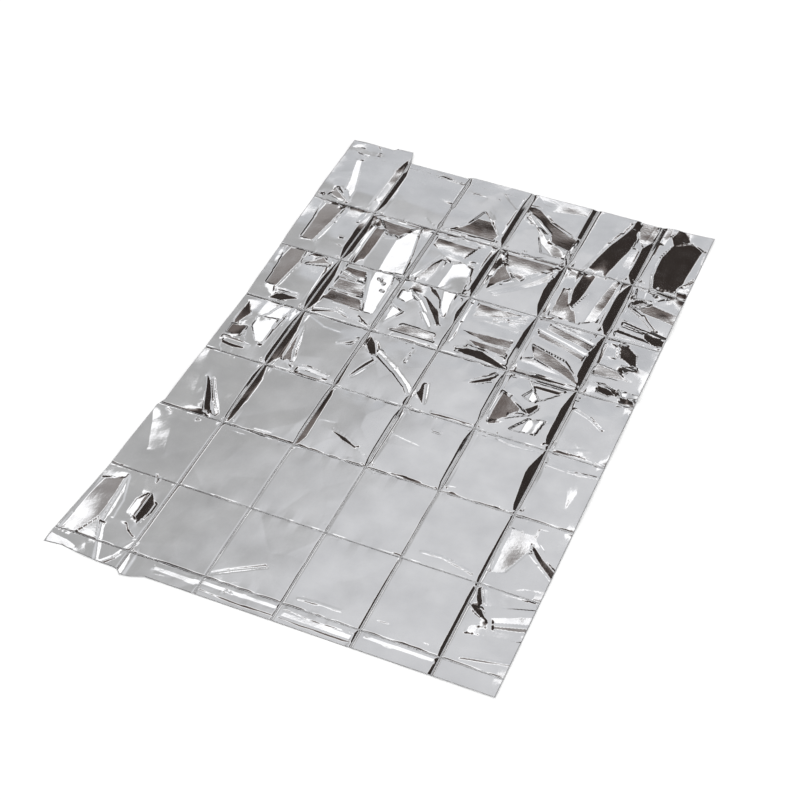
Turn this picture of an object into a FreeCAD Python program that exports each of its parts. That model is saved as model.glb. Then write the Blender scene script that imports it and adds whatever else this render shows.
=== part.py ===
import FreeCAD, Part
import os

# Emergency foil blanket, opened out and laid flat.
# The real one is a single sheet of metallised polyester film. It is sold folded to a pocket
# pack, first lengthwise into pleats and then crosswise, so the open sheet is divided by
# creases into a grid of flat panels that turn about the creases as leaves turn on hinges.
# Each panel is one thin plate here. X runs across the sheet, Y along it, Z up. The origin is
# under the middle of the sheet, on the surface that it lies on. Lengths are in millimetres.

# Driving dimensions
FILM = 0.025  # thickness of the metallised film, the heavier of the two usual gauges
CREASE = 0.2  # film taken up by the bend of each crease, left out between two panels

FULL_COLUMNS = 5  # columns of panels, counted from the left edge, that are one pleat wide
PLEAT_WIDTH = 225.0  # distance between two lengthwise creases
EDGE_COLUMN = 175.0  # what is left of the sheet beyond the last lengthwise crease

FIRST_ROW = 336.0  # the row at the far end, which is pulled first to open the pack
FULL_ROWS = 6  # rows between the first and the last crosswise crease
ROW_LENGTH = 283.0  # distance between two crosswise creases
END_ROW = 66.0  # what is left of the sheet beyond the last crosswise crease

LEAF_GAP = 0.2  # air left between two leaves of a folded pleat
PACK_GAP = 0.2  # air left between two folded bundles of pleats

# Sizes that follow from them
column_widths = [PLEAT_WIDTH] * FULL_COLUMNS + [EDGE_COLUMN]
row_lengths = [FIRST_ROW] + [ROW_LENGTH] * FULL_ROWS + [END_ROW]
sheet_width = sum(column_widths)
sheet_length = sum(row_lengths)
leaf_pitch = FILM + LEAF_GAP
bundle_height = (len(column_widths) - 1) * leaf_pitch + FILM


def edges_along(start, sizes, direction):
    """The places of the panels' edges along one side of the sheet, end to end."""
    places = [start]
    for size in sizes:
        places.append(places[-1] + direction * size)
    return places


def panel_name(column, row):
    """Columns are lettered from the left edge, rows are numbered from the far end."""
    return "panel_" + "abcdefghij"[column] + str(row + 1)


def half_crease(place, low, high):
    """How far a panel stops short of an edge: half a crease, or nothing at the sheet's rim."""
    at_rim = abs(place - low) < CREASE or abs(place - high) < CREASE
    return 0.0 if at_rim else CREASE / 2


def make_panel(x_left, x_right, y_near, y_far):
    """One flat panel of film between the creases, or the rim, around it."""
    half_width = sheet_width / 2
    half_length = sheet_length / 2
    x_low = x_left + half_crease(x_left, -half_width, half_width)
    x_high = x_right - half_crease(x_right, -half_width, half_width)
    y_low = y_near + half_crease(y_near, -half_length, half_length)
    y_high = y_far - half_crease(y_far, -half_length, half_length)
    corner = FreeCAD.Vector(x_low, y_low, 0)
    return Part.makeBox(x_high - x_low, y_high - y_low, FILM, corner)


def long_crease_axis(number):
    """Height and direction of the fold line of a lengthwise crease, counted from the left.

    Odd creases fold the next column up over this one and even ones fold it under, so the
    columns pleat like a fan and always stack upwards from the left edge column.
    """
    valley = number % 2 == 1
    height = FILM + LEAF_GAP / 2 if valley else -LEAF_GAP / 2
    direction = (0, -1, 0) if valley else (0, 1, 0)
    return height, direction


def cross_crease_axis(number):
    """Height and direction of the fold line of a crosswise crease, counted from the far end.

    It clears the whole bundle of pleats, which are folded before the crosswise creases.
    """
    valley = number % 2 == 1
    height = bundle_height + PACK_GAP / 2 if valley else -PACK_GAP / 2
    direction = (-1, 0, 0) if valley else (1, 0, 0)
    return height, direction


column_edges = edges_along(-sheet_width / 2, column_widths, 1)
row_edges = edges_along(sheet_length / 2, row_lengths, -1)

os.makedirs("parts", exist_ok=True)
for column in range(len(column_widths)):
    for row in range(len(row_lengths)):
        panel = make_panel(
            column_edges[column],
            column_edges[column + 1],
            row_edges[row + 1],
            row_edges[row],
        )
        panel.exportStep("parts/" + panel_name(column, row) + ".step")

print("sheet", sheet_width, "x", sheet_length, "mm, film", FILM, "mm")
for number, place in enumerate(column_edges[1:-1], 1):
    height, direction = long_crease_axis(number)
    print("lengthwise crease", number, "x", place, "z", round(height, 4), "axis", direction)
for number, place in enumerate(row_edges[1:-1], 1):
    height, direction = cross_crease_axis(number)
    print("crosswise crease", number, "y", place, "z", round(height, 4), "axis", direction)
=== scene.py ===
import math

import bpy
import numpy as np
from mathutils import Matrix, Vector


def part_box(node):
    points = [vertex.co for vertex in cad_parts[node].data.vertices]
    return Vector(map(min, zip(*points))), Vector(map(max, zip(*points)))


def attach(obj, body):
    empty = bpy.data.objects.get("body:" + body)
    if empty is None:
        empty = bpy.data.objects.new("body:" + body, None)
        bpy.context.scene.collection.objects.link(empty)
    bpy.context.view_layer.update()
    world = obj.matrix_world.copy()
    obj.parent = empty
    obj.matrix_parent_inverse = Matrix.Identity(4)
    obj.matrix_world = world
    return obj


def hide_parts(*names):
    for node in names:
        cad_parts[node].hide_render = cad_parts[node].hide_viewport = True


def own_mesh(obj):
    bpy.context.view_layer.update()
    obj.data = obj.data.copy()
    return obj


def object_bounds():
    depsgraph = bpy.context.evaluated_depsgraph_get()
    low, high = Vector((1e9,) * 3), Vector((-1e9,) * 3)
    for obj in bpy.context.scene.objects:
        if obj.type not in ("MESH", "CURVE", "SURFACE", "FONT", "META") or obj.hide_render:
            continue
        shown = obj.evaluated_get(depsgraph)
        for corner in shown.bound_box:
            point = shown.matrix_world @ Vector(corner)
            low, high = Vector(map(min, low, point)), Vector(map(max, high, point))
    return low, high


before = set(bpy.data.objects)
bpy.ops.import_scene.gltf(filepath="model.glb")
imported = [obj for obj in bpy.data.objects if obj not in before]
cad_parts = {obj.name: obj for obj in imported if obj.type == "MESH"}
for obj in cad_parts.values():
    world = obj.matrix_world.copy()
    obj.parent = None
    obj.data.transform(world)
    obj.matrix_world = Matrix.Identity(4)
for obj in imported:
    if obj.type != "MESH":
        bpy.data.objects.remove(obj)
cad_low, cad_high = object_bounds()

# ---------------------------------------------------------------------------
# Camera
# It stands at the near end, a little to the right, and looks down along the open sheet.
# ---------------------------------------------------------------------------
camera_place = Vector((1.4304, -4.0136, 3.7299))
camera_turn = math.radians(20.06)  # from +Y towards -X
camera_dip = math.radians(41.91)  # below the horizon
camera_roll = math.radians(3.33)

look = Vector(
    (
        -math.sin(camera_turn) * math.cos(camera_dip),
        math.cos(camera_turn) * math.cos(camera_dip),
        -math.sin(camera_dip),
    )
)
side = look.cross(Vector((0, 0, 1))).normalized()
rise = side.cross(look)
rolled_side = side * math.cos(camera_roll) + rise * math.sin(camera_roll)
rolled_rise = rise * math.cos(camera_roll) - side * math.sin(camera_roll)
bpy.ops.object.camera_add()
camera = bpy.context.object
camera.name = "camera"
camera.matrix_world = Matrix(
    (
        (rolled_side.x, rolled_rise.x, -look.x, camera_place.x),
        (rolled_side.y, rolled_rise.y, -look.y, camera_place.y),
        (rolled_side.z, rolled_rise.z, -look.z, camera_place.z),
        (0, 0, 0, 1),
    )
)
camera.data.lens = 84.93
camera.data.sensor_width = 36
camera.data.clip_end = 100
bpy.context.scene.camera = camera
bpy.context.scene.view_settings.view_transform = "Standard"

# ---------------------------------------------------------------------------
# Floor
# A plain pale studio floor that the sheet is laid on.
# ---------------------------------------------------------------------------
bpy.ops.mesh.primitive_plane_add(size=60, location=(0, 0, -0.0006))
floor = bpy.context.object
floor.name = "floor"
floor_paint = bpy.data.materials.new("floor_paint")
floor_paint.use_nodes = True
floor_shader = floor_paint.node_tree.nodes["Principled BSDF"]
floor_shader.inputs["Base Color"].default_value = (0.93, 0.93, 0.93, 1)
floor_shader.inputs["Roughness"].default_value = 0.9
floor_shader.inputs["Specular IOR Level"].default_value = 0.0
floor.data.materials.append(floor_paint)

# ---------------------------------------------------------------------------
# Studio
# Plain soft light. The film is a mirror, so a big pale panel with a white rim hangs over it in a
# dim room, placed to fill the flat film as the camera sees it. Walls and roof are more soft
# panels between dark frames, for every other side. Nothing here moves with the view.
# ---------------------------------------------------------------------------
world = bpy.data.worlds.new("studio")
bpy.context.scene.world = world
world.use_nodes = True
world_nodes = world.node_tree.nodes
world_links = world.node_tree.links
world_nodes.clear()


def world_math(operation, first, second=None, third=None, clamp=False):
    """A Math node in the studio's nodes; each input is a number or another node's output."""
    node = world_nodes.new("ShaderNodeMath")
    node.operation = operation
    node.use_clamp = clamp
    for index, value in enumerate((first, second, third)):
        if isinstance(value, (int, float)):
            node.inputs[index].default_value = value
        elif value is not None:
            world_links.new(value, node.inputs[index])
    return node.outputs[0]


def world_step(value, start, end):
    """0 where value is at start, 1 where it is at end, smooth between them."""
    node = world_nodes.new("ShaderNodeMapRange")
    node.interpolation_type = "SMOOTHSTEP"
    node.clamp = True
    world_links.new(value, node.inputs["Value"])
    node.inputs["From Min"].default_value = start
    node.inputs["From Max"].default_value = end
    return node.outputs["Result"]


def world_mix(mask, under, over):
    """The colour under, with over laid on it where mask is 1; a colour is three numbers."""
    node = world_nodes.new("ShaderNodeMix")
    node.data_type = "RGBA"
    if isinstance(mask, (int, float)):
        node.inputs["Factor"].default_value = mask
    else:
        world_links.new(mask, node.inputs["Factor"])
    for socket, value in (("A", under), ("B", over)):
        target = [s for s in node.inputs if s.identifier == socket + "_Color"][0]
        if isinstance(value, tuple):
            target.default_value = (*value, 1)
        else:
            world_links.new(value, target)
    return [s for s in node.outputs if s.identifier == "Result_Color"][0]


direction = world_nodes.new("ShaderNodeTexCoord").outputs["Generated"]
split = world_nodes.new("ShaderNodeSeparateXYZ")
world_links.new(direction, split.inputs[0])
height = world_math("MAXIMUM", split.outputs["Z"], 0.02)
# Where a ray from the camera's mirror image would have crossed the sheet's plane
across = world_math("DIVIDE", split.outputs["X"], height)
across = world_math("MULTIPLY_ADD", across, camera_place.z, camera_place.x)
along = world_math("DIVIDE", split.outputs["Y"], height)
along = world_math("MULTIPLY_ADD", along, camera_place.z, camera_place.y)

PALE_LEFT = (0.44, 0.44, 0.44)
PALE_RIGHT = (0.66, 0.665, 0.68)
PALE_FAR = (0.58, 0.59, 0.61)
WINDOW = {"right": 0.76, "far": 1.30, "left": -0.80, "near": -1.40}  # edges of the pale panel
SPREAD = {"right": 0.30, "far": 0.60, "left": -1.30, "near": -0.80}  # scale of what frames it
# What lies outside the panel, by how many spreads beyond its edge it is
FRAME = [
    (0.04, (1.20, 1.20, 1.21)),
    (0.28, (1.20, 1.20, 1.21)),
    (0.34, (0.34, 0.325, 0.32)),
    (0.50, (0.31, 0.29, 0.28)),
    (0.57, (0.19, 0.165, 0.155)),
    (0.80, (0.16, 0.135, 0.125)),
    (0.95, (0.035, 0.028, 0.025)),
    (4.50, (0.030, 0.025, 0.023)),
    (9.00, (0.030, 0.025, 0.023)),
]
SCALE = FRAME[-1][0]
DIM_REACH = {"right": 4.5, "far": 4.5, "left": 2.2, "near": 2.6}  # where the dim part ends, in spreads

ceiling = world_mix(world_step(across, -0.55, 0.25), PALE_LEFT, PALE_RIGHT)
ceiling = world_mix(world_step(along, 0.45, 0.8), ceiling, PALE_FAR)
outside = world_math("SUBTRACT", across, WINDOW["right"])
outside = world_math("DIVIDE", outside, SPREAD["right"])
in_room = world_step(outside, DIM_REACH["right"], DIM_REACH["right"] + 0.5)
for name, place in (("far", along), ("left", across), ("near", along)):
    beyond = world_math("SUBTRACT", place, WINDOW[name])
    beyond = world_math("DIVIDE", beyond, SPREAD[name])
    outside = world_math("MAXIMUM", outside, beyond)
    past_dim = world_step(beyond, DIM_REACH[name], DIM_REACH[name] + 0.3)
    in_room = world_math("MAXIMUM", in_room, past_dim)
framing = world_nodes.new("ShaderNodeValToRGB")
ramp = framing.color_ramp
for place, colour in FRAME[:-1]:
    stop = ramp.elements.new(place / SCALE)
    stop.color = (*colour, 1)
ramp.elements[0].color = (*PALE_RIGHT, 1)
ramp.elements[-1].color = (*FRAME[-1][1], 1)
world_links.new(world_math("DIVIDE", outside, SCALE, clamp=True), framing.inputs[0])
overhead = world_mix(world_step(outside, 0.0, FRAME[0][0]), ceiling, framing.outputs["Color"])

# The panels of walls and roof: brightness by degrees above the horizon
PANELS = [
    (0, 0.72), (4, 0.62), (5.5, 0.07), (7.5, 0.07), (8.5, 1.15), (10, 1.15), (11, 0.44), (24, 0.66),
    (25, 1.15), (26.5, 1.15), (27.5, 0.06), (31, 0.06), (32, 1.15), (33.5, 1.15), (34.5, 0.50),
    (53, 0.68), (54.5, 1.15), (56, 1.15), (57, 0.07), (70, 0.05), (71.5, 1.15), (74, 1.15),
    (75, 0.52), (90, 0.68),
]
GAP_EVERY = math.radians(45)  # upright frames between the wall panels
climb = world_math("ARCSINE", split.outputs["Z"])
walls = world_nodes.new("ShaderNodeValToRGB")
for degrees, shade in PANELS[1:-1]:
    stop = walls.color_ramp.elements.new(degrees / 90)
    stop.color = (shade, shade, shade * 1.01, 1)
for element, (degrees, shade) in zip((0, -1), (PANELS[0], PANELS[-1])):
    walls.color_ramp.elements[element].color = (shade, shade, shade * 1.01, 1)
world_links.new(world_math("DIVIDE", climb, math.pi / 2, clamp=True), walls.inputs[0])
around = world_math("ARCTAN2", split.outputs["Y"], split.outputs["X"])
from_gap = world_math("PINGPONG", world_math("ADD", around, GAP_EVERY / 2), GAP_EVERY / 2)
upright = world_math("SUBTRACT", 1.0, world_step(from_gap, math.radians(2.5), math.radians(4)))
upright = world_math("MULTIPLY", upright, world_step(climb, math.radians(70), math.radians(60)))
room = world_mix(upright, walls.outputs["Color"], (0.07, 0.06, 0.055))
in_room = world_math("MAXIMUM", in_room, world_step(climb, math.radians(64), math.radians(66)))
reflected = world_mix(in_room, overhead, room)

mirror_light = world_nodes.new("ShaderNodeBackground")
world_links.new(reflected, mirror_light.inputs["Color"])
plain_light = world_nodes.new("ShaderNodeBackground")
plain_light.inputs["Color"].default_value = (1, 1, 1, 1)
plain_light.inputs["Strength"].default_value = 1.15
paths = world_nodes.new("ShaderNodeLightPath")
choose = world_nodes.new("ShaderNodeMixShader")
world_links.new(paths.outputs["Is Glossy Ray"], choose.inputs[0])
world_links.new(plain_light.outputs[0], choose.inputs[1])
world_links.new(mirror_light.outputs[0], choose.inputs[2])
world_out = world_nodes.new("ShaderNodeOutputWorld")
world_links.new(choose.outputs[0], world_out.inputs["Surface"])

# ---------------------------------------------------------------------------
# Film: its shape
# One sheet of metallised polyester film, thinner than a hair. It comes out of its pack with
# pleats that won't lie flat, and between the creases it buckles into sharp little facets.
# The whole sheet is shaped at once, so that every panel meets its neighbours.
# ---------------------------------------------------------------------------
columns = "abcdef"
rows = range(1, 9)
FILM = cad_high.z - cad_low.z  # its thickness, in metres


def seam(low_node, high_node, axis):
    """Where two neighbouring panels meet, in millimetres."""
    return 500 * (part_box(low_node)[1][axis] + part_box(high_node)[0][axis])


long_creases = [seam(f"panel_{a}1", f"panel_{b}1", 0) for a, b in zip(columns, columns[1:])]
cross_creases = [seam(f"panel_a{n + 1}", f"panel_a{n}", 1) for n in rows[:-1]]
rim_left, rim_near = cad_low.x * 1000, cad_low.y * 1000
rim_right, rim_far = cad_high.x * 1000, cad_high.y * 1000
column_lines = [rim_left, *long_creases, rim_right]
row_lines = [rim_far, *cross_creases, rim_near]
GRID = 3.0  # distance between the sheet's mesh lines, in millimetres


def mesh_lines(edges):
    """Mesh lines between the given panel edges, and where each edge falls among them."""
    lines, marks = [edges[0]], [0]
    for start, end in zip(edges, edges[1:]):
        count = max(2, round(abs(end - start) / GRID))
        lines.extend(start + (end - start) * (i + 1) / count for i in range(count))
        marks.append(len(lines) - 1)
    return np.array(lines), marks


xs, column_marks = mesh_lines(column_lines)
ys, row_marks = mesh_lines(row_lines)
X, Y = np.meshgrid(xs, ys)  # rows of the arrays run from the far end to the near end
Z = np.zeros_like(X)


def ripples(seed, length, height):
    """Soft uneven waves over the whole sheet: their usual length and height in millimetres."""
    rng = np.random.default_rng(seed)
    nx = int((rim_right - rim_left) / length) + 4
    ny = int((rim_far - rim_near) / length) + 4
    knots = rng.normal(0, 1, (ny, nx))
    gx = (X - rim_left) / length + 1
    gy = (Y - rim_near) / length + 1
    ix, iy = np.floor(gx).astype(int), np.floor(gy).astype(int)
    fx, fy = gx - ix, gy - iy
    fx, fy = fx * fx * (3 - 2 * fx), fy * fy * (3 - 2 * fy)
    top = knots[iy, ix] * (1 - fx) + knots[iy, ix + 1] * fx
    low = knots[iy + 1, ix] * (1 - fx) + knots[iy + 1, ix + 1] * fx
    return height * (top * (1 - fy) + low * fy)


# How high each row of panels swells off the floor between its crosswise creases, and how far
# from its far and near creases it takes to get there
swells = [(4.4, 190, 100), (4.4, 190, 100), (4.4, 190, 100), (4.2, 170, 100), (3.6, 140, 100),
          (1.9, 80, 120), (1.9, 80, 140), (1.2, 60, 60)]
lips = [0.2, 0.3, 0.5, 0.9, 1.0, 0.9, 0.8, 0.8]  # how far it stands up right beside a crease
beside = np.min([np.abs(Y - place) for place in cross_creases], axis=0)
broken = np.interp(
    xs, np.arange(rim_left, rim_right + 60, 26), np.random.default_rng(5).uniform(0, 1, 53)
)
for line, ((most, far_way, near_way), lip) in enumerate(zip(swells, lips)):
    part = slice(row_marks[line], row_marks[line + 1] + 1)
    from_far = np.minimum((row_lines[line] - Y[part]) / far_way, 1)
    from_near = np.minimum((Y[part] - row_lines[line + 1]) / near_way, 1)
    if line == 0:
        from_far = 1
    if line == len(swells) - 1:
        from_near = 1
    swell = most * (1 - (1 - from_far) ** 2) * (1 - (1 - from_near) ** 2)
    away = beside[part]
    stand = lip * broken * np.minimum(away / 6.0, 1) * np.exp(-np.maximum(away - 6, 0) / 20)
    Z[part] = np.maximum(Z[part], 0.8 + swell + stand)
for number, mark in enumerate(row_marks[1:-1]):
    Z[mark] = 0.8 if number % 2 == 0 else 1.3

# Lengthwise creases: a furrow with a broad left flank and a narrow right one.
# Each line is the place along the sheet, left width, right width and depth.
furrows = {
    0: [(1050, 4, 4, 0.5), (1010, 12, 10, 3.4), (950, 30, 20, 4.5), (700, 32, 20, 4.5),
        (560, 18, 20, 4.5), (431, 14, 20, 4.4), (300, 14, 22, 4.4), (0, 12, 24, 4.3),
        (-130, 14, 20, 3.0), (-300, 8, 28, 3.8), (-400, 5, 16, 2.6), (-440, 4, 5, 0.7),
        (-700, 6, 7, 0.9), (-960, 5, 6, 0.7)],
    1: [(1050, 4, 4, 0.5), (1000, 7, 9, 3.4), (860, 6, 8, 3.4), (840, 3, 3, 1.0),
        (770, 3, 4, 1.6), (740, 7, 8, 3.0), (431, 7, 9, 3.6), (200, 7, 9, 3.6),
        (0, 4, 5, 1.8), (-150, 6, 14, 2.6), (-400, 4, 24, 3.4), (-440, 4, 5, 0.5),
        (-960, 5, 6, 0.5)],
    2: [(1050, 8, 10, 3.0), (980, 14, 10, 4.0), (900, 18, 10, 4.3), (700, 20, 9, 4.3),
        (500, 20, 8, 4.3), (330, 14, 7, 3.8), (280, 4, 4, 1.2), (200, 8, 8, 2.8),
        (140, 4, 4, 1.0), (-80, 6, 6, 1.4), (-150, 10, 9, 3.0), (-400, 8, 8, 2.8),
        (-430, 5, 5, 0.5), (-984, 6, 6, 0.9)],
    3: [(1050, 18, 10, 4.2), (715, 18, 10, 4.2), (560, 28, 8, 4.4), (440, 16, 8, 4.0),
        (180, 16, 7, 4.0), (100, 12, 7, 3.6), (-60, 9, 5, 2.8), (-100, 3, 3, 1.0),
        (-200, 12, 7, 3.0), (-400, 9, 7, 2.8), (-430, 5, 5, 0.5), (-984, 8, 6, 1.1)],
    4: [(1050, 22, 16, 4.2), (900, 32, 12, 4.4), (714, 38, 10, 4.4), (431, 30, 10, 4.4),
        (148, 26, 10, 4.3), (-130, 18, 8, 3.8), (-250, 28, 8, 3.8), (-400, 12, 6, 2.8),
        (-440, 6, 6, 0.8), (-600, 9, 9, 1.5), (-984, 11, 6, 1.5)],
}
for number, stations in furrows.items():
    place = long_creases[number]
    near_first = stations[::-1]
    at = [s[0] for s in near_first]
    left = np.interp(ys, at, [s[1] for s in near_first])[:, None]
    right = np.interp(ys, at, [s[2] for s in near_first])[:, None]
    depth = np.interp(ys, at, [s[3] for s in near_first])[:, None]
    level = Z[:, [column_marks[number + 1]]] - 0.1
    scale = np.clip(level / depth, 0.15, 1)  # narrower where the film lies low
    away = X - place
    share = np.where(away < 0, 1 + away / (left * scale), 1 - away / (right * scale))
    Z -= np.minimum(depth * scale, level) * np.clip(share, 0, 1)

# Between the creases the film buckles into flat facets. Each facet leans just far enough to
# mirror one part of the studio: so many spreads beyond one edge of the pale panel.
TONES = {"white": 0.16, "grey": 0.42, "brown": 0.68, "dark": 1.25}
slope_x = np.zeros_like(X)
slope_y = np.zeros_like(X)
hold = np.full_like(X, 0.2)
zone = np.zeros(X.shape, int)


FACING = {"right": (1, 0), "left": (-1, 0), "far": (0, 1), "near": (0, -1)}


def mirrored(px, py, sx, sy):
    """The spot of the ceiling, across and along, that film sloped sx and sy mirrors."""
    to_camera = np.array([camera_place.x - px, camera_place.y - py, camera_place.z + 0 * px])
    to_camera = to_camera / np.sqrt((to_camera**2).sum(0))
    normal = np.array([-sx, -sy, 1 + 0 * sx]) / np.sqrt(1 + sx**2 + sy**2)
    out = 2 * (to_camera * normal).sum(0) * normal - to_camera
    high = np.maximum(out[2], 0.05)
    return (
        camera_place.x + camera_place.z * out[0] / high,
        camera_place.y + camera_place.z * out[1] / high,
    )


def lean(tone, part, facing):
    """Slopes across and along that mirror the named tone, for film that faces that way."""
    px, py = X[part] / 1000, Y[part] / 1000
    best = np.full(px.shape, 9.0)
    sides = []
    trial = 0.1
    at_x, at_y = mirrored(px, py, -trial * facing[0] + 0 * px, -trial * facing[1] + 0 * px)
    for name in WINDOW:
        goal = WINDOW[name] + SPREAD[name] * TONES[tone]
        flat, moved = (px, at_x) if name in ("left", "right") else (py, at_y)
        speed = (moved - flat) / trial
        steep = (goal - flat) / np.where(np.abs(speed) < 1e-3, 1e-3, speed)
        if np.median(steep) > 0:
            sides.append((float(np.median(steep)), name, steep))
    steep_now, name, steep = min(sides, key=lambda entry: entry[0])
    goal = WINDOW[name] + SPREAD[name] * TONES[tone]
    flat = px if name in ("left", "right") else py
    for again in range(4):
        at_x, at_y = mirrored(px, py, -steep * facing[0], -steep * facing[1])
        moved = at_x if name in ("left", "right") else at_y
        steep = steep * np.clip((goal - flat) / (moved - flat), 0.5, 2.0)
    return -steep * facing[0], -steep * facing[1]


def facing_across(points, hint, least=1.7):
    """The way a facet faces: square to its length if it is long, or as the hint says."""
    spots = np.array(points, float)
    spots = spots - spots.mean(0)
    sizes, axes = np.linalg.eigh(spots.T @ spots)
    way = np.array(FACING[hint], float)
    if sizes[1] > least**2 * max(sizes[0], 1e-9):
        square = axes[:, 0]
        if abs(square @ way) > 0.25:
            way = square * np.sign(square @ way)
    return way


def block(points, margin=0.0):
    """The part of the sheet's mesh that holds these points."""
    px, py = [p[0] for p in points], [p[1] for p in points]
    cols = np.flatnonzero((xs >= min(px) - margin) & (xs <= max(px) + margin))
    lines = np.flatnonzero((ys >= min(py) - margin) & (ys <= max(py) + margin))
    if not len(cols) or not len(lines):
        return None
    return slice(lines[0], lines[-1] + 1), slice(cols[0], cols[-1] + 1)


def set_lean(part, inside, tone, facing, firm):
    """Asks for a lean where inside is true."""
    sx, sy = lean(tone, part, facing)
    slope_x[part] = np.where(inside, sx, slope_x[part])
    slope_y[part] = np.where(inside, sy, slope_y[part])
    hold[part] = np.where(inside, firm, hold[part])
    zone[part] = np.where(inside, zone.max() + 1, zone[part])


def facet(how, *points, firm=1.0):
    """A flat facet with the given corners."""
    part = block(points)
    if part is None:
        return
    px, py = X[part], Y[part]
    inside = np.zeros(px.shape, bool)
    for (x0, y0), (x1, y1) in zip(points, points[1:] + points[:1]):
        if y0 != y1:
            cuts = (py > min(y0, y1)) & (py <= max(y0, y1))
            inside ^= cuts & (px < x0 + (py - y0) * (x1 - x0) / (y1 - y0))
    hint, tone = how.split()
    set_lean(part, inside, tone, facing_across(points, hint), firm)


def streak(how, width, *points, firm=1.0):
    """A long narrow facet along a line."""
    hint, tone = how.split()
    for start, end in zip(points, points[1:]):
        part = block((start, end), width)
        if part is None:
            continue
        (x0, y0), (x1, y1) = start, end
        px, py = X[part], Y[part]
        dx, dy = x1 - x0, y1 - y0
        t = np.clip(((px - x0) * dx + (py - y0) * dy) / (dx * dx + dy * dy + 1e-9), 0, 1)
        near = np.hypot(px - x0 - t * dx, py - y0 - t * dy)
        way = np.array([dy, -dx]) / math.hypot(dx, dy)
        side_on = way @ np.array(FACING[hint], float)
        way = way if side_on > 0 else -way
        set_lean(part, near <= width / 2, tone, way, firm)


# Bright lips beside the lengthwise furrows
for x, spans in (
    (-453, ((950, 720), (700, 640))),
    (-443, ((420, 160), (140, -120))),
    (-400, ((950, 722), (700, 440), (420, 160), (140, -130), (-150, -400))),
    (-208, ((1000, 870), (700, 440), (400, 170))),
    (-190, ((1000, 870), (700, 440), (420, 160))),
    (3, ((1000, 720), (700, 440), (410, 330))),
    (38, ((1040, 720), (700, 440), (420, 300), (-160, -400))),
    (230, ((1040, 720), (700, 640))),
    (262, ((1040, 720), (700, 440), (420, 170), (130, -60), (-150, -400))),
    (440, ((890, 730), (700, 450), (420, 280))),
    (490, ((1040, 720), (700, 440), (420, 160), (140, -120), (-160, -400))),
):
    for far, near in spans:
        streak("left white", 6, (x, far), (x, near), firm=0.5)

# Column a
streak("right dark", 7, (-600, 1070), (-575, 1064), (-545, 1035))
facet("near grey", (-640, 1012), (-600, 995), (-560, 1000), (-600, 1018))
facet("near dark", (-548, 1012), (-530, 1016), (-525, 1006), (-540, 1002))
streak("left white", 9, (-495, 1030), (-480, 1055))
facet("left white", (-600, 960), (-575, 965), (-530, 800), (-525, 725), (-560, 725), (-575, 850), firm=0.3)
facet("near grey", (-595, 785), (-530, 728), (-610, 740))
facet("far white", (-595, 795), (-560, 790), (-520, 735), (-530, 728))
facet("right dark", (-640, 745), (-622, 745), (-622, 730), (-640, 730))
facet("left grey", (-612, 700), (-520, 700), (-530, 600), (-548, 480), (-600, 490), (-600, 600))
streak("right dark", 5, (-612, 700), (-602, 600), (-602, 490))
streak("right brown", 5, (-520, 700), (-530, 600), (-548, 480))
streak("left white", 7, (-512, 700), (-522, 600), (-540, 480))
facet("far dark", (-480, 542), (-460, 545), (-455, 530), (-472, 526))
facet("near dark", (-500, 505), (-445, 490), (-450, 500))
facet("left grey", (-625, 425), (-545, 425), (-540, 360), (-565, 220), (-612, 225), (-615, 320))
streak("left white", 8, (-536, 425), (-534, 360), (-556, 220))
facet("near grey", (-525, 362), (-475, 425), (-440, 385))
facet("near dark", (-560, 160), (-545, 185), (-520, 195), (-465, 190), (-510, 160))
facet("far white", (-570, 215), (-520, 222), (-470, 215), (-470, 200), (-520, 205), (-560, 195))
facet("left brown", (-622, 115), (-575, 60), (-615, -5), (-625, 20))
facet("left brown", (-620, 0), (-555, 0), (-560, -50), (-620, -50))
streak("left white", 7, (-598, 5), (-580, 20), (-565, 45))
streak("left white", 6, (-555, -20), (-545, -45), (-535, -60))
facet("far white", (-620, -60), (-560, -62), (-500, -70), (-500, -78), (-560, -80), (-620, -75))
facet("near dark", (-610, -85), (-560, -95), (-520, -90), (-520, -100), (-560, -108), (-610, -100))
streak("right dark", 5, (-490, 150), (-502, 130), (-515, 90), (-530, 65), (-550, 50))
facet("left white", (-550, 60), (-475, 70), (-470, -50), (-500, -50), (-545, 10), firm=0.25)
streak("right dark", 6, (-455, 150), (-462, 80), (-470, -50))
facet("near dark", (-485, -56), (-470, -54), (-466, -68), (-482, -70))
facet("right dark", (-575, -250), (-545, -270), (-510, -320), (-455, -400), (-500, -400), (-555, -280))
streak("left white", 6, (-497, -340), (-480, -385))
streak("left white", 5, (-540, -255), (-505, -305), (-450, -390))
facet("near brown", (-620, -420), (-590, -436), (-588, -446), (-612, -436))
facet("near dark", (-500, -685), (-475, -705), (-485, -720))
streak("right brown", 6, (-572, -728), (-562, -800), (-550, -920), (-500, -1045))
streak("left white", 9, (-564, -728), (-553, -800), (-541, -920), (-492, -1040))
streak("right brown", 5, (-566, -728), (-532, -820), (-525, -890))
facet(
    "left grey", (-640, -760), (-575, -740), (-566, -800), (-560, -900), (-600, -1000), (-640, -990),
    firm=0.5,
)
facet("right dark", (-475, -765), (-440, -797), (-440, -820), (-455, -890), (-475, -865))
facet("left white", (-480, -765), (-500, -800), (-500, -860), (-478, -865))
streak("near dark", 6, (-480, -898), (-465, -918), (-445, -930))
streak("left white", 10, (-430, -945), (-460, -1020), (-485, -1050))
streak("right dark", 6, (-420, -950), (-448, -1020), (-472, -1050))

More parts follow.
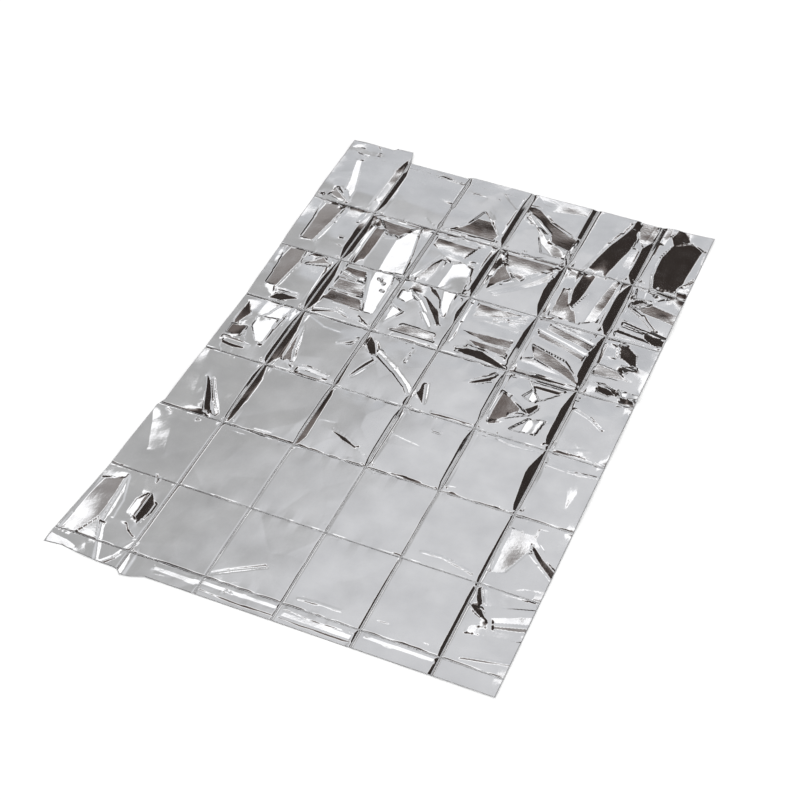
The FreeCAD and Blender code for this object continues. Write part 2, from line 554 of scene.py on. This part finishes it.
# Column b
streak("near brown", 6, (-300, 1035), (-260, 1022), (-215, 1000))
streak("near brown", 5, (-305, 1010), (-260, 1000), (-210, 1000))
streak("far white", 7, (-300, 1020), (-255, 1012), (-215, 1008))
streak("near brown", 5, (-255, 757), (-215, 730))
facet("far brown", (-395, 700), (-360, 650), (-340, 620), (-310, 625), (-285, 610), (-275, 680), (-250, 700))
facet("right brown", (-388, 640), (-350, 640), (-345, 580), (-330, 431), (-388, 431))
streak("left white", 12, (-394, 640), (-394, 520), (-392, 431))
facet(
    "left white", (-340, 600), (-300, 615), (-265, 690), (-245, 700), (-225, 570), (-205, 440),
    (-315, 431), (-345, 580),
)
streak("right dark", 5, (-248, 700), (-240, 650), (-222, 560), (-208, 440))
facet("far brown", (-394, 425), (-325, 425), (-305, 352), (-394, 360))
facet("far brown", (-394, 352), (-303, 344), (-285, 282), (-394, 290))
facet("far brown", (-394, 282), (-283, 274), (-262, 215), (-394, 222))
streak("left white", 9, (-395, 385), (-365, 374), (-335, 360))
facet("left white", (-315, 431), (-290, 340), (-258, 220), (-220, 220), (-225, 380), (-235, 431))
facet("right dark", (-276, 396), (-262, 398), (-262, 384), (-274, 384))
facet("right dark", (-258, 380), (-246, 380), (-248, 368), (-256, 368))
facet("right dark", (-246, 343), (-236, 343), (-236, 332), (-246, 332))
facet("near dark", (-265, 200), (-235, 185), (-205, 150), (-245, 175))
streak("far white", 14, (-400, 172), (-330, 195), (-215, 158))
streak("near dark", 5, (-400, 160), (-330, 183), (-290, 172))
streak("right brown", 5, (-395, 130), (-330, 100), (-280, 98))
facet("right brown", (-395, 80), (-370, -50), (-355, -90), (-390, -95))
streak("left white", 6, (-388, 80), (-362, -50), (-348, -85))
facet("near dark", (-280, 35), (-225, 60), (-210, 100), (-240, 66))
facet("right dark", (-368, -105), (-350, -100), (-338, -130))
facet("far white", (-330, -95), (-300, -88), (-230, -100), (-230, -122), (-300, -112), (-330, -128))
streak("near grey", 9, (-330, -403), (-280, -403))
streak("right brown", 5, (-330, -1032), (-260, -1015), (-200, -1000))
streak("left white", 7, (-330, -1024), (-260, -1007), (-204, -992))
facet("far white", (-405, -440), (-360, -446), (-330, -440), (-360, -434))

# Column c
facet("near dark", (-165, 962), (-112, 958), (-112, 952), (-165, 953))
facet("right dark", (-78, 966), (-66, 966), (-66, 957), (-78, 957))
streak("right dark", 5, (-80, 905), (-60, 895))
facet("far brown", (-90, 880), (-50, 835), (-5, 770), (-10, 735), (-150, 735), (-170, 722), (-120, 790))
streak("left white", 9, (-98, 880), (-128, 790), (-176, 724))
streak("left white", 7, (-60, 868), (-47, 850), (-42, 825))
streak("left white", 5, (-72, 850), (-64, 835))
streak("right white", 6, (-82, 884), (-42, 842), (4, 775))
streak("left white", 6, (-65, 1000), (-40, 975), (0, 935))
streak("right brown", 5, (-58, 1000), (-33, 970), (4, 930))
streak("far white", 9, (-190, 697), (-110, 690), (-40, 687))
facet("far brown", (-185, 680), (-45, 675), (-70, 580), (-95, 572), (-130, 590), (-185, 640))
facet("right grey", (-125, 575), (-115, 431), (-180, 431), (-145, 540))
streak("left white", 9, (-137, 585), (-150, 540), (-188, 440))
facet("left white", (-112, 572), (-85, 572), (-60, 585), (-20, 560), (-5, 431), (-112, 431), firm=0.8)
streak("right dark", 5, (-40, 680), (-28, 600), (-4, 500))
facet("right dark", (-120, 431), (-80, 431), (-60, 375), (-95, 400))
facet("right dark", (-105, 370), (-45, 330), (-10, 260), (-25, 250), (-65, 310), (-100, 358))
streak("left white", 12, (-160, 380), (-110, 345), (-75, 300))
streak("right dark", 5, (-168, 372), (-118, 336), (-84, 290))
streak("left white", 11, (-85, 296), (-60, 265), (-40, 240))
streak("right dark", 5, (-94, 290), (-70, 258), (-50, 232))
facet("left white", (-185, 375), (-150, 372), (-130, 340), (-150, 320), (-185, 330))
facet("left white", (-75, 425), (-20, 428), (-15, 300), (-40, 330), (-55, 370))
facet("left white", (-185, 285), (-140, 265), (-180, 200))
streak("right brown", 5, (-190, 295), (-138, 268), (-176, 196))
facet("far grey", (-120, 220), (-10, 215), (0, 175), (-150, 175), firm=0.6)
facet("right dark", (-185, 125), (-150, 90), (-135, 45), (-160, 40), (-188, 75))
streak("left white", 6, (-160, 108), (-145, 85), (-130, 60))
streak("right dark", 6, (-140, 78), (-60, 20), (0, -36), (22, -62))
streak("left white", 17, (-134, 66), (-54, 8), (4, -44), (28, -76))
streak("right dark", 5, (-140, 46), (-64, -8), (-8, -56), (16, -92))
facet("right dark", (-140, 25), (-128, 22), (-150, -30), (-172, -84), (-178, -80), (-165, -30))
streak("left white", 6, (-124, 18), (-144, -32), (-166, -84))
streak("right dark", 6, (-45, 120), (-48, 85), (-50, 50))
streak("left white", 5, (-39, 120), (-42, 85), (-44, 50))
streak("near brown", 6, (-170, -290), (-125, -286))
facet("near dark", (-120, -318), (-75, -330), (-30, -356), (-30, -362), (-80, -346), (-118, -326))
streak("far white", 5, (-30, -354), (0, -375), (25, -398))
streak("left white", 6, (-120, -312), (-75, -323), (-28, -349))
streak("right grey", 8, (-190, -960), (-150, -930), (-70, -880), firm=0.4)
streak("left white", 9, (-184, -966), (-144, -938), (-64, -888), firm=0.4)
facet("right dark", (-138, -1006), (-126, -1006), (-126, -1015), (-138, -1015))
streak("near dark", 5, (-40, -1008), (-10, -1004))

# Column d
facet(
    "far brown", (50, 970), (75, 968), (130, 905), (215, 862), (240, 860), (235, 782), (165, 800),
    (150, 850), (90, 910), (45, 935),
)
streak("far white", 7, (48, 980), (80, 978), (135, 914), (218, 870), (243, 866))
streak("left white", 8, (44, 928), (86, 902), (144, 845), (160, 797))
facet(
    "left white", (120, 850), (160, 800), (235, 775), (234, 742), (150, 745), (96, 870), (52, 925),
    (48, 905), firm=0.8,
)
facet("right dark", (92, 737), (104, 737), (104, 727), (92, 727))
facet("right dark", (80, 719), (90, 719), (90, 711), (80, 711))
facet("far brown", (55, 697), (225, 697), (190, 652), (155, 605), (140, 572), (110, 585), (70, 640))
facet("right brown", (60, 640), (110, 582), (108, 570), (80, 535), (50, 500), (42, 560))
streak("far white", 8, (232, 692), (196, 646), (162, 600), (144, 566))
streak("left white", 8, (118, 566), (88, 528), (56, 492))
streak("left white", 14, (46, 690), (42, 560))
streak("left white", 9, (44, 425), (44, 300), (44, 200))
facet("far grey", (60, 418), (205, 410), (150, 372), (62, 340), firm=0.5)
facet("left white", (150, 560), (225, 660), (222, 600), (150, 520), (90, 470), (60, 478), firm=0.5)
streak("near brown", 7, (130, 360), (175, 376), (225, 390))
streak("far white", 8, (132, 350), (178, 366), (228, 380))
streak("near brown", 6, (100, 335), (135, 340), (170, 335))
streak("near brown", 6, (180, 340), (220, 340))
facet("far brown", (60, 270), (222, 285), (224, 240), (140, 236))
facet("far brown", (90, 232), (222, 236), (224, 196), (120, 206))
facet("near dark", (70, 165), (85, 180), (100, 190), (150, 195), (250, 150), (170, 158))
streak("far white", 8, (70, 182), (100, 202), (150, 206), (236, 168))
facet("right dark", (48, -10), (75, -105), (35, -70), (42, -20))
streak("left white", 6, (56, -10), (82, -100))
facet("near dark", (230, 120), (205, 90), (155, 42), (180, 48), (225, 80))
streak("far white", 6, (220, 118), (196, 92), (146, 42))
streak("near dark", 7, (110, -128), (170, -124), (240, -126))
streak("far white", 7, (110, -118), (170, -114), (240, -116))
streak("right brown", 5, (40, -265), (85, -275), (140, -283))
streak("left white", 6, (40, -258), (85, -268), (140, -276))
facet("near dark", (140, -194), (170, -192), (168, -202), (142, -202))
facet("near dark", (80, -408), (140, -402), (200, -410), (140, -414))
streak("near brown", 5, (60, -955), (120, -948), (180, -948))
streak("far white", 7, (60, -946), (120, -940), (180, -940))

# Column e
facet(
    "right dark", (385, 1050), (400, 1050), (405, 990), (420, 950), (405, 800), (390, 714),
    (372, 650), (345, 570), (333, 520), (322, 530), (308, 600), (308, 714), (345, 880), (370, 950),
    (388, 1020),
)
streak("left white", 7, (377, 1050), (380, 1020), (362, 952), (337, 884), (300, 718), (300, 604), (314, 530))
facet("far grey", (405, 1050), (465, 1050), (470, 950), (440, 905), (425, 940), (410, 990))
facet("right dark", (434, 930), (446, 930), (446, 918), (434, 918))
facet(
    "left white", (412, 900), (440, 895), (438, 700), (425, 480), (385, 460), (376, 520), (398, 650),
    (410, 760), firm=0.6,
)
facet(
    "right grey", (280, 600), (300, 600), (318, 525), (335, 510), (370, 500), (378, 450), (275, 450),
    firm=0.7,
)
facet("far grey", (300, 410), (375, 394), (452, 368), (448, 340), (375, 360), (290, 384), firm=0.4)
facet("near white", (296, 422), (375, 408), (456, 382), (452, 370), (375, 396), (300, 412))
facet("far grey", (275, 368), (370, 338), (445, 308), (442, 285), (370, 312), (280, 338), firm=0.4)
facet("near white", (272, 380), (372, 352), (450, 324), (446, 311), (370, 340), (274, 369))
streak("right dark", 5, (285, 303), (340, 288), (400, 268))
facet("far brown", (280, 298), (400, 262), (450, 205), (470, 165), (400, 200), (300, 235))
facet("far grey", (300, 235), (400, 200), (470, 165), (270, 160), (268, 220))
facet("near dark", (300, 158), (340, 168), (430, 160), (430, 152), (340, 150))
streak("far white", 8, (280, 143), (360, 146), (440, 143))
facet("near dark", (340, 130), (445, 132), (425, 105), (395, 70), (385, 62), (350, 110))
streak("left white", 6, (332, 128), (342, 110), (378, 60))
facet("left white", (350, 100), (380, 64), (372, 40), (330, 60), firm=0.5)
facet("right brown", (268, 50), (268, -95), (325, -50), (370, -15), (340, 10), (300, 36))
streak("left white", 10, (322, -36), (345, -20), (372, -14))
streak("far white", 8, (270, 60), (304, 45), (345, 18))
streak("near brown", 6, (274, -102), (330, -60), (374, -24))
facet("right dark", (350, 5), (390, 50), (392, 20), (380, -10), (365, -8))
facet("left white", (380, -30), (430, -20), (420, -90), (340, -95), firm=0.4)
streak("near dark", 6, (280, -148), (325, -145))
facet("far white", (330, -145), (380, -150), (440, -146), (440, -160), (380, -166), (330, -156))
streak("near brown", 6, (290, -662), (350, -658), (400, -668), (445, -680))
streak("far white", 7, (290, -652), (350, -648), (400, -658), (445, -670))
streak("near dark", 5, (280, -935), (310, -934))
streak("near dark", 5, (410, -957), (430, -956))

# Column f
streak("left white", 16, (504, 1050), (504, 960))
facet("right dark", (535, 1060), (585, 1005), (545, 958), (515, 1000))
streak("left white", 7, (555, 962), (574, 980), (594, 1002))
facet(
    "right dark", (530, 955), (590, 1002), (634, 978), (638, 820), (612, 760), (604, 728),
    (535, 718), (514, 780), (512, 870),
)
streak("left white", 8, (512, 880), (514, 780), (530, 718))
streak("left white", 12, (642, 970), (645, 900), (643, 820), (628, 770))
facet("right dark", (610, 740), (650, 740), (650, 702), (612, 706))
facet("left white", (492, 700), (560, 700), (600, 690), (560, 655), (500, 655), firm=0.6)
facet("near dark", (500, 640), (520, 648), (550, 636), (552, 618), (520, 604), (498, 606))
streak("left white", 8, (500, 600), (525, 620), (550, 642))
facet("far grey", (560, 640), (650, 620), (650, 560), (600, 575), (512, 585))
streak("near dark", 7, (500, 590), (545, 560), (600, 505))
streak("far white", 8, (508, 600), (553, 570), (608, 515))
facet("near dark", (500, 525), (560, 512), (650, 500), (650, 490), (560, 500), (500, 512))
facet("far white", (500, 508), (560, 497), (650, 487), (650, 478), (560, 486), (500, 494))
facet("near dark", (495, 480), (560, 470), (620, 468), (620, 455), (560, 455), (495, 462))
facet("far white", (495, 455), (560, 450), (640, 452), (640, 443), (560, 438), (495, 440))
facet("right dark", (575, 490), (650, 485), (650, 455), (620, 448), (590, 460))
facet("right dark", (525, 431), (590, 385), (605, 322), (540, 345), (530, 400))
streak("left white", 8, (518, 428), (522, 398), (532, 340))
facet("near dark", (557, 312), (600, 308), (578, 283))
streak("far white", 6, (552, 318), (604, 314))
facet("near grey", (490, 290), (560, 280), (600, 250), (490, 240), firm=0.5)
facet("near dark", (520, 200), (560, 195), (585, 175), (560, 165), (525, 172))
facet("left white", (585, 205), (650, 200), (650, 180), (600, 178))
facet("right dark", (590, 175), (640, 178), (650, 160), (600, 155))
streak("far white", 8, (490, 205), (540, 212), (585, 196))
streak("near grey", 8, (490, 60), (545, 38), (590, 5))
streak("far white", 9, (494, 70), (549, 48), (596, 14), firm=0.5)
streak("near dark", 6, (500, -125), (570, -122), (645, -128))
streak("far white", 7, (500, -115), (545, -100), (580, -86))
streak("near grey", 7, (490, -195), (560, -200), (640, -190), firm=0.5)
streak("far white", 8, (490, -186), (560, -190), (640, -181), firm=0.5)
streak("left white", 8, (540, -506), (555, -538), (598, -576), (650, -618))
streak("right brown", 5, (495, -683), (540, -670))
streak("right brown", 5, (560, -690), (600, -670), (650, -662))
streak("right brown", 5, (520, -965), (585, -950), (648, -937))
streak("left white", 7, (520, -956), (585, -941), (648, -928))

# The near hem, and the near corners
facet("near white", (-650, -1006), (-565, -1030), (-560, -1049), (-650, -1049))
facet("left white", (-425, -975), (-411, -975), (-408, -1050), (-425, -1050))
streak("right dark", 6, (-402, -975), (-398, -1050))
facet("near white", (20, -994), (-195, -994), (-195, -1012), (20, -1014))
streak("near dark", 5, (-195, -1030), (-80, -1034), (20, -1034))
facet("near white", (40, -1006), (240, -1006), (240, -1028), (40, -1028))
streak("near dark", 5, (40, -1000), (130, -1006), (238, -1001))
streak("near dark", 5, (40, -1034), (240, -1034))
facet("near white", (265, -990), (465, -990), (465, -1010), (265, -1010), firm=0.5)
facet("near white", (-195, -1000), (-340, -1000), (-340, -1020), (-210, -1024), firm=0.5)
facet("right white", (486, -470), (560, -475), (610, -530), (560, -540), (525, -640), (488, -655))
facet("right dark", (556, -500), (600, -540), (652, -575), (652, -612), (600, -568), (562, -528))
streak("right dark", 6, (484, -470), (480, -560), (486, -650))
facet("right white", (490, -712), (640, -706), (650, -728), (530, -770), (515, -765))
facet("right dark", (470, -712), (490, -712), (514, -768), (498, -772))
facet("right dark", (474, -782), (516, -778), (545, -826), (500, -804))
facet("right white", (545, -800), (650, -752), (650, -790), (560, -820))
facet("near grey", (560, -826), (650, -796), (650, -816), (566, -838))
facet("right white", (500, -850), (650, -826), (650, -850), (500, -880), firm=0.6)

# Small crinkles gather along the creases and at their crossings, mostly on the far half
chance = np.random.default_rng(11)
ways = ("right dark", "left white", "near dark", "far white", "right brown", "left white")
CRINKLES = 260
for number in range(CRINKLES):
    if number % 2:
        cx = long_creases[chance.integers(5)] + chance.normal(0, 16)
        cy = cross_creases[chance.integers(7)] + chance.normal(0, 14)
    else:
        cx = chance.uniform(rim_left + 10, rim_right - 10)
        cy = cross_creases[chance.integers(7)] + chance.normal(0, 8)
    length, width = chance.uniform(10, 40), chance.uniform(3.2, 5)
    turn = chance.normal(0, 0.5)
    dx, dy = 0.5 * length * math.cos(turn), 0.5 * length * math.sin(turn)
    way = ways[chance.integers(len(ways))]
    if cy > -460 or number % 5 == 0:
        streak(way, width, (cx - dx, cy - dy), (cx + dx, cy + dy), firm=0.6)

# Even where it looks flat, the film is made of broad soft planes, a few to a panel
soft_x = np.zeros_like(X)
soft_y = np.zeros_like(X)
for left, right in zip(column_marks, column_marks[1:]):
    for line, (far, near) in enumerate(zip(row_marks, row_marks[1:])):
        part = (slice(far, near + 1), slice(left, right + 1))
        spots = chance.uniform(0, 1, (7, 2))
        spots_x = xs[left] + spots[:, 0] * (xs[right] - xs[left])
        spots_y = ys[near] + spots[:, 1] * (ys[far] - ys[near])
        distance = np.hypot(X[part][..., None] - spots_x, Y[part][..., None] - spots_y)
        nearest = distance.argmin(-1)
        soft_x[part] = chance.normal(0, 0.014, 7)[nearest]
        soft_y[part] = chance.normal(0, 0.011, 7)[nearest]

# The surface whose slopes come nearest to all of these is found by least squares, done over
# again with less weight on what can't be met, so that the film stays flat between sharp lines
step_x, step_y = np.diff(xs)[None, :], np.diff(ys)[:, None]
base_y, base_x = np.gradient(Z, ys, xs)
tilt_x = np.where(zone > 0, slope_x - base_x, soft_x)
tilt_y = np.where(zone > 0, slope_y - base_y, soft_y)
goal_x = 0.5 * (tilt_x[:, 1:] + tilt_x[:, :-1])
goal_y = 0.5 * (tilt_y[1:] + tilt_y[:-1])
AT_EDGE = 0.09  # the slope counts for little where one facet meets the next
edge_x = np.where(zone[:, 1:] != zone[:, :-1], AT_EDGE, 1.0)
edge_y = np.where(zone[1:] != zone[:-1], AT_EDGE, 1.0)
hold_x = 0.5 * (hold[:, 1:] + hold[:, :-1]) * edge_x
hold_y = 0.5 * (hold[1:] + hold[:-1]) * edge_y
settle = np.full_like(X, 2e-5)
for mark in row_marks[1:-1]:
    settle[mark] = 0.05
for mark in column_marks[1:-1]:
    settle[:, mark] += 0.004


def spread(pull_x, pull_y):
    """Pulls along the mesh's edges, summed at its points."""
    total = np.zeros_like(X)
    total[:, 1:] += pull_x
    total[:, :-1] -= pull_x
    total[1:] += pull_y
    total[:-1] -= pull_y
    return total


LOWEST, HIGHEST = 0.3, 9.6  # where the film may lie, over the floor


def room_for(heights):
    """The nearest allowed heights. Panels that close face to face share the gap between them."""
    allowed = np.clip(heights, LOWEST, HIGHEST)
    for mark, before, after in zip(row_marks[1::2], row_marks[0::2], row_marks[2::2]):
        count = min(mark - before, after - mark)
        upper = heights[mark - count : mark][::-1]
        lower = heights[mark + 1 : mark + count + 1]
        gap = 1.9 + 0.25 * np.abs(ys[mark + 1 : mark + count + 1] - ys[mark])[:, None]
        over = np.maximum(upper + lower - gap, 0) / 2
        allowed[mark - count : mark] = np.minimum(
            allowed[mark - count : mark], (upper - over)[::-1]
        )
        allowed[mark + 1 : mark + count + 1] = np.minimum(
            allowed[mark + 1 : mark + count + 1], lower - over
        )
        allowed[mark] = np.minimum(allowed[mark], 0.95)  # the crease itself stays under its axis
    return allowed


SHARP = 0.01  # slopes that miss by less than this aren't let go
ROUNDS, TURNS = 7, 330  # how often the weights change, and the solver's turns for each
layer = np.zeros_like(X)
for attempt in range(ROUNDS):
    off_x = np.diff(layer, axis=1) / step_x - goal_x
    off_y = np.diff(layer, axis=0) / step_y - goal_y
    firm_x = hold_x * (1 if attempt == 0 else 0.03 / np.sqrt(off_x**2 + SHARP**2))
    firm_y = hold_y * (1 if attempt == 0 else 0.03 / np.sqrt(off_y**2 + SHARP**2))
    room = room_for(Z + layer) - Z  # where the film may lie
    stop = np.where(room != layer, 0.02, 0.0)
    link_x, link_y = firm_x / step_x**2, firm_y / step_y**2
    stay = settle + stop
    stiff = stay.copy()
    stiff[:, 1:] += link_x
    stiff[:, :-1] += link_x
    stiff[1:] += link_y
    stiff[:-1] += link_y
    left_over = stop * (room - layer) - settle * layer
    left_over -= spread(firm_x * off_x / step_x, firm_y * off_y / step_y)
    reach = left_over / stiff
    heading = reach.copy()
    energy = float((left_over * reach).sum())
    for turn in range(TURNS):
        resist = stay * heading + spread(
            link_x * np.diff(heading, axis=1), link_y * np.diff(heading, axis=0)
        )
        gain = energy / float((heading * resist).sum())
        layer += gain * heading
        left_over -= gain * resist
        reach = left_over / stiff
        fresh = float((left_over * reach).sum())
        heading = reach + fresh / energy * heading
        energy = fresh
Z = Z + layer
Z += ripples(3, 95.0, 0.22)
Z += ripples(7, 34.0, 0.05)
TOUCHING, TALLEST = 0.05, 9.9  # the least and the most that the finished film may stand
Z = np.clip(room_for(Z), TOUCHING, TALLEST)

# The rims pull in and out a little where the film is buckled
far_rim = [(-650, 20), (-600, 24), (-500, 22), (-492, 36), (-436, 40), (-426, 0), (-418, -25),
           (-212, -25), (-196, -12), (20, -10), (240, -4), (460, 0), (560, 5), (650, 15)]
near_rim = [(-650, 6), (-600, 12), (-550, 4), (-490, -2), (-440, -3), (-424, -6), (-410, -20),
            (-380, -15), (-345, 0), (650, 0)]
left_rim = [(-1050, -4), (-1000, -4), (-700, 14), (-430, 16), (-400, 28), (150, 28), (430, 16),
            (760, 4), (1050, 0)]
far_shift = np.interp(xs, [p[0] for p in far_rim], [p[1] for p in far_rim])
near_shift = np.interp(xs, [p[0] for p in near_rim], [p[1] for p in near_rim])
left_shift = np.interp(ys, [p[0] for p in left_rim], [p[1] for p in left_rim])[:, None]
shift_y = far_shift * np.clip(1 - (rim_far - Y) / 110, 0, 1)
shift_y += near_shift * np.clip(1 - (Y - rim_near) / 70, 0, 1)
shift_x = left_shift * np.clip(1 - (X - rim_left) / 150, 0, 1)
X, Y = X + shift_x, Y + shift_y

# ---------------------------------------------------------------------------
# Film: its finish
# A mirror-bright metal coat on clear film. The coat is a little cloudy, handling has left a
# fine crinkle all over it, and it is rubbed dull in short runs along the creases.
# ---------------------------------------------------------------------------
film = bpy.data.materials.new("silver_film")
film.use_nodes = True
film_nodes = film.node_tree.nodes
film_links = film.node_tree.links
coat = film_nodes["Principled BSDF"]
coat.inputs["Metallic"].default_value = 1.0
on_film = film_nodes.new("ShaderNodeTexCoord").outputs["Object"]


def film_noise(scale, detail):
    """Uneven patches, so many to a metre."""
    node = film_nodes.new("ShaderNodeTexNoise")
    node.inputs["Scale"].default_value = scale
    node.inputs["Detail"].default_value = detail
    film_links.new(on_film, node.inputs["Vector"])
    return node.outputs["Fac"]


def film_range(value, start, end, low, high):
    """A value from start to end, turned into one from low to high."""
    node = film_nodes.new("ShaderNodeMapRange")
    film_links.new(value, node.inputs["Value"])
    for socket, number in zip(("From Min", "From Max", "To Min", "To Max"), (start, end, low, high)):
        node.inputs[socket].default_value = number
    return node.outputs["Result"]


def film_math(operation, first, second, third=None):
    """A Math node in the film's nodes."""
    node = film_nodes.new("ShaderNodeMath")
    node.operation = operation
    for index, value in enumerate((first, second, third)):
        if isinstance(value, (int, float)):
            node.inputs[index].default_value = value
        elif value is not None:
            film_links.new(value, node.inputs[index])
    return node.outputs[0]


cloudy = film_nodes.new("ShaderNodeValToRGB")
cloudy.color_ramp.elements[0].position = 0.3
cloudy.color_ramp.elements[0].color = (0.82, 0.82, 0.83, 1)
cloudy.color_ramp.elements[1].position = 0.7
cloudy.color_ramp.elements[1].color = (0.95, 0.95, 0.955, 1)
film_links.new(film_noise(9, 5), cloudy.inputs[0])
film_links.new(cloudy.outputs["Color"], coat.inputs["Base Color"])

film_axes = film_nodes.new("ShaderNodeSeparateXYZ")
film_links.new(on_film, film_axes.inputs[0])
PANEL_WIDE = (long_creases[1] - long_creases[0]) / 1000
PANEL_DEEP = (cross_creases[0] - cross_creases[1]) / 1000
from_long = film_math("SUBTRACT", film_axes.outputs["X"], long_creases[0] / 1000)
from_long = film_math("PINGPONG", from_long, PANEL_WIDE / 2)
from_cross = film_math("SUBTRACT", film_axes.outputs["Y"], cross_creases[0] / 1000)
from_cross = film_math("PINGPONG", from_cross, PANEL_DEEP / 2)
from_crease = film_math("MINIMUM", from_long, from_cross)
rubbed = film_math(
    "MULTIPLY",
    film_range(from_crease, 0.0008, 0.0030, 1, 0),
    film_range(film_noise(60, 2), 0.45, 0.60, 0, 1),
)
dull = film_range(film_noise(24, 4), 0.35, 0.7, 0.035, 0.085)
RUBBED_DULLER = 0.22
film_links.new(film_math("MULTIPLY_ADD", rubbed, RUBBED_DULLER, dull), coat.inputs["Roughness"])

crinkle = film_nodes.new("ShaderNodeBump")
crinkle.inputs["Strength"].default_value = 0.14
crinkle.inputs["Distance"].default_value = 0.0003
film_links.new(film_noise(110, 4), crinkle.inputs["Height"])
film_links.new(crinkle.outputs["Normal"], coat.inputs["Normal"])

# ---------------------------------------------------------------------------
# Film: its panels
# Each panel between the creases turns about them as a leaf on its hinges.
# ---------------------------------------------------------------------------
def make_panel(name, left, right, far, near):
    """The piece of the shaped sheet between four mesh lines, as a thin closed skin."""
    px = X[far : near + 1, left : right + 1]
    py = Y[far : near + 1, left : right + 1]
    pz = Z[far : near + 1, left : right + 1]
    deep, wide = px.shape
    top = np.stack([px.ravel(), py.ravel(), pz.ravel()], 1) / 1000
    bottom = top - (0, 0, FILM)
    count = deep * wide
    index = np.arange(count).reshape(deep, wide)
    a, b = index[:-1, :-1].ravel(), index[:-1, 1:].ravel()
    c, d = index[1:, 1:].ravel(), index[1:, :-1].ravel()
    faces_top = np.stack([a, d, c, b], 1)
    faces_bottom = np.stack([a, b, c, d], 1) + count
    ring = np.concatenate(
        [index[0, :-1], index[:-1, -1], index[-1, :0:-1], index[:0:-1, 0]]
    )
    after = np.roll(ring, -1)
    faces_rim = np.stack([ring, after, after + count, ring + count], 1)
    faces = np.concatenate([faces_top, faces_bottom, faces_rim])
    mesh = bpy.data.meshes.new(name)
    mesh.vertices.add(2 * count)
    mesh.vertices.foreach_set("co", np.concatenate([top, bottom]).astype(np.float32).ravel())
    mesh.loops.add(faces.size)
    mesh.loops.foreach_set("vertex_index", faces.ravel().astype(np.int32))
    mesh.polygons.add(len(faces))
    mesh.polygons.foreach_set("loop_start", np.arange(0, faces.size, 4, dtype=np.int32))
    smooth = np.ones(len(faces), bool)
    smooth[-len(faces_rim) :] = False
    mesh.polygons.foreach_set("use_smooth", smooth)
    mesh.update(calc_edges=True)
    mesh.validate()
    piece = bpy.data.objects.new(name, mesh)
    bpy.context.collection.objects.link(piece)
    piece.data.materials.append(film)
    return piece


for column, letter in enumerate(columns):
    for line in range(len(row_lines) - 1):
        node = f"panel_{letter}{line + 1}"
        piece = make_panel(
            f"film_{letter}{line + 1}",
            column_marks[column],
            column_marks[column + 1],
            row_marks[line],
            row_marks[line + 1],
        )
        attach(piece, node)
        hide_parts(node)
        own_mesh(piece)
